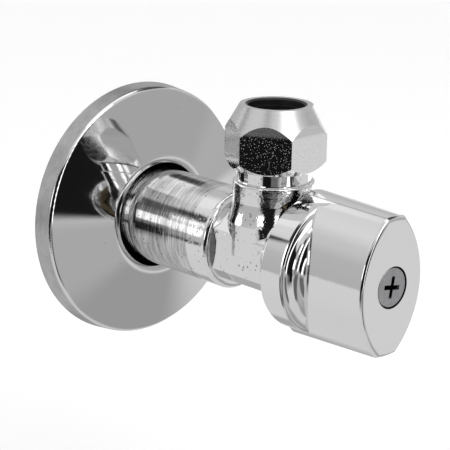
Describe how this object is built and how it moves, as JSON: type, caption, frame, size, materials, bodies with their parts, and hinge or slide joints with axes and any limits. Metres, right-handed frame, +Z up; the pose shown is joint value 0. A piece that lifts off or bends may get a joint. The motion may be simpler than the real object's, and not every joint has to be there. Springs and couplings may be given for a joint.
{
  "type": "angle stop valve",
  "caption": "Chrome angle stop valve: wall inlet with a round flange, upright compression outlet and a turn handle.",
  "frame": {"origin": "centre of the inlet thread at the wall plane", "axes": "+Z up along the outlet, +Y into the wall along the inlet thread, the handle points along -Y"},
  "size_m": [0.0588, 0.0905, 0.0612],
  "materials": {
    "chrome_brass": "polished",
    "chrome_cast": "polished",
    "chrome_sheet": "polished",
    "raw_brass": "satin",
    "screw_steel": "satin",
    "seal_rubber": "matte",
    "seal_fibre": "matte"
  },
  "bodies": {
    "valve": {"valve_body": "chrome_brass", "bonnet": "raw_brass", "bonnet_gasket": "seal_fibre", "thrust_washer": "seal_fibre"},
    "wall_flange": {"escutcheon": "chrome_sheet"},
    "turning_stem": {"spindle": "raw_brass", "spindle_o_ring_lower": "seal_rubber", "spindle_o_ring_upper": "seal_rubber", "retaining_clip": "screw_steel", "handle": "chrome_cast", "handle_screw": "screw_steel"},
    "plunger_set": {"plunger": "raw_brass", "seat_washer": "seal_rubber", "washer_screw": "screw_steel"},
    "olive_ring": {"olive": "raw_brass"},
    "nut": {"compression_nut": "chrome_brass"}
  },
  "joints": [
    {"name": "flange_slide", "type": "slide", "parent": "valve", "child": "wall_flange", "axis": [0, -1, 0], "range_m": [0, 0.02]},
    {"name": "handle_turn", "type": "hinge", "parent": "valve", "child": "turning_stem", "pos_m": [0, -0.06, 0], "axis": [0, -1, 0], "range_deg": [0, 1080]},
    {"name": "plunger_lift", "type": "slide", "parent": "valve", "child": "plunger_set", "axis": [0, -1, 0], "range_m": [0, 0.0045]},
    {"name": "olive_lift", "type": "slide", "parent": "valve", "child": "olive_ring", "axis": [0, 0, 1], "range_m": [0, 0.00401]},
    {"name": "nut_turn", "type": "hinge", "parent": "olive_ring", "child": "nut", "pos_m": [0, -0.0447, 0.025], "axis": [0, 0, 1], "range_deg": [0, 1080]}
  ],
  "couplings": [
    {"joint": "plunger_lift", "follows": "handle_turn", "m_per_rad": 0.00023873},
    {"joint": "olive_lift", "follows": "nut_turn", "m_per_rad": 0.00021279}
  ]
}
